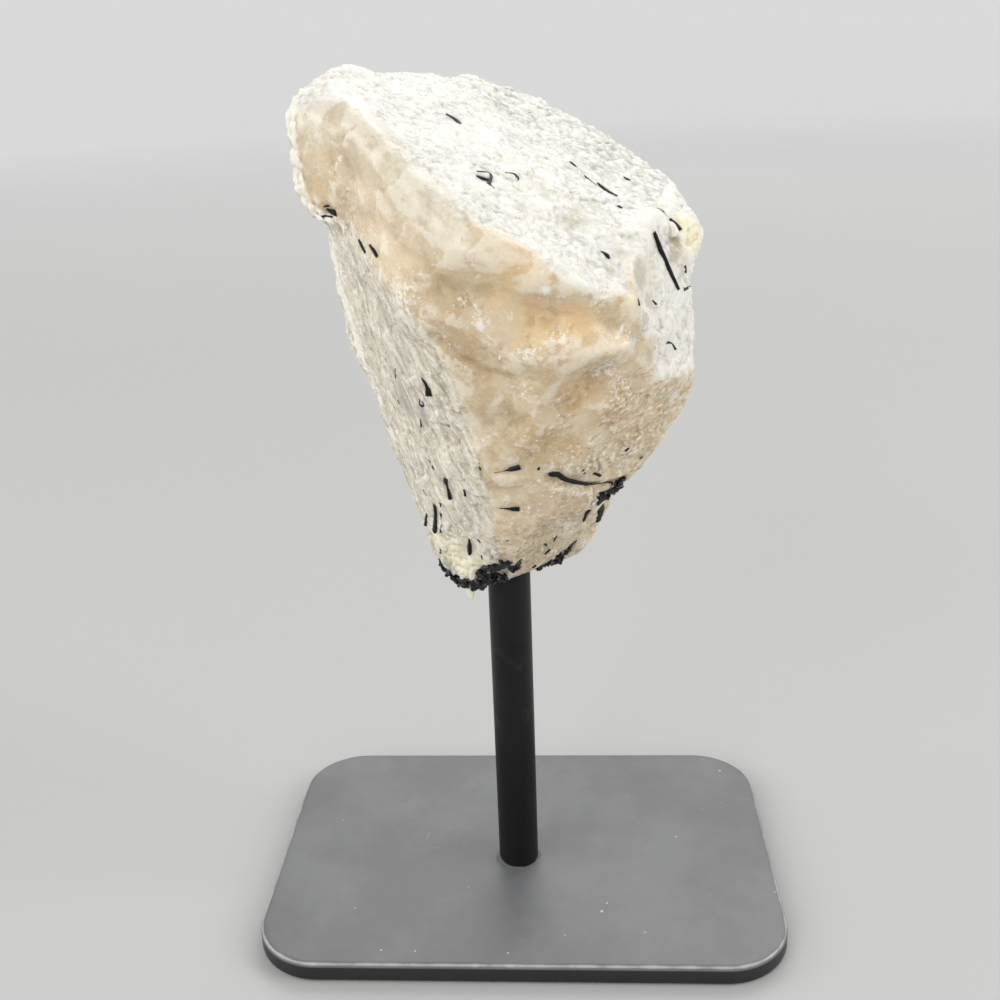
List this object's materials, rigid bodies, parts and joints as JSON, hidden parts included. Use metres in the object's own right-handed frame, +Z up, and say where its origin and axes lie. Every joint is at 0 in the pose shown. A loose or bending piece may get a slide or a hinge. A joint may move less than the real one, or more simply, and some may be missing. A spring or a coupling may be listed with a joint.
{
  "type": "tourmalinated quartz on a pin stand",
  "caption": "Rough broken chunk of milky to smoky quartz with black tourmaline crystals, held up by a round rod on a flat round-cornered plate.",
  "frame": {"origin": "centre of the base plate's underside", "axes": "+Z up along the rod, +X to the right along the plate's long side, -Y towards the viewer"},
  "size_m": [0.0762, 0.0521, 0.1196],
  "materials": {
    "quartz": "rough broken, translucent milky to smoky quartz with a cream mineral at the lower tip",
    "tourmaline": "black, semi-gloss, finely striated",
    "black_metal": "matt black paint, slightly dusty, worn bright along the plate's upper edge"
  },
  "bodies": {
    "root": {"base_plate": "black_metal", "post": "black_metal", "quartz_stone": "quartz", "tourmaline_needle_right": "tourmaline", "tourmaline_needle_hooked": "tourmaline", "tourmaline_blade_front_upper": "tourmaline", "tourmaline_blade_front_low": "tourmaline", "tourmaline_blade_left_upper": "tourmaline", "tourmaline_blade_left_low": "tourmaline", "tourmaline_blade_tip": "tourmaline", "tourmaline_stub_left": "tourmaline", "tourmaline_stub_lobe": "tourmaline", "tourmaline_spindle_top": "tourmaline", "tourmaline_blade_top": "tourmaline", "tourmaline_stub_top": "tourmaline", "tourmaline_stub_horn": "tourmaline", "tourmaline_crust_tip": "tourmaline", "tourmaline_crust_heel": "tourmaline", "tourmaline_crust_ledge": "tourmaline"}
  },
  "joints": []
}
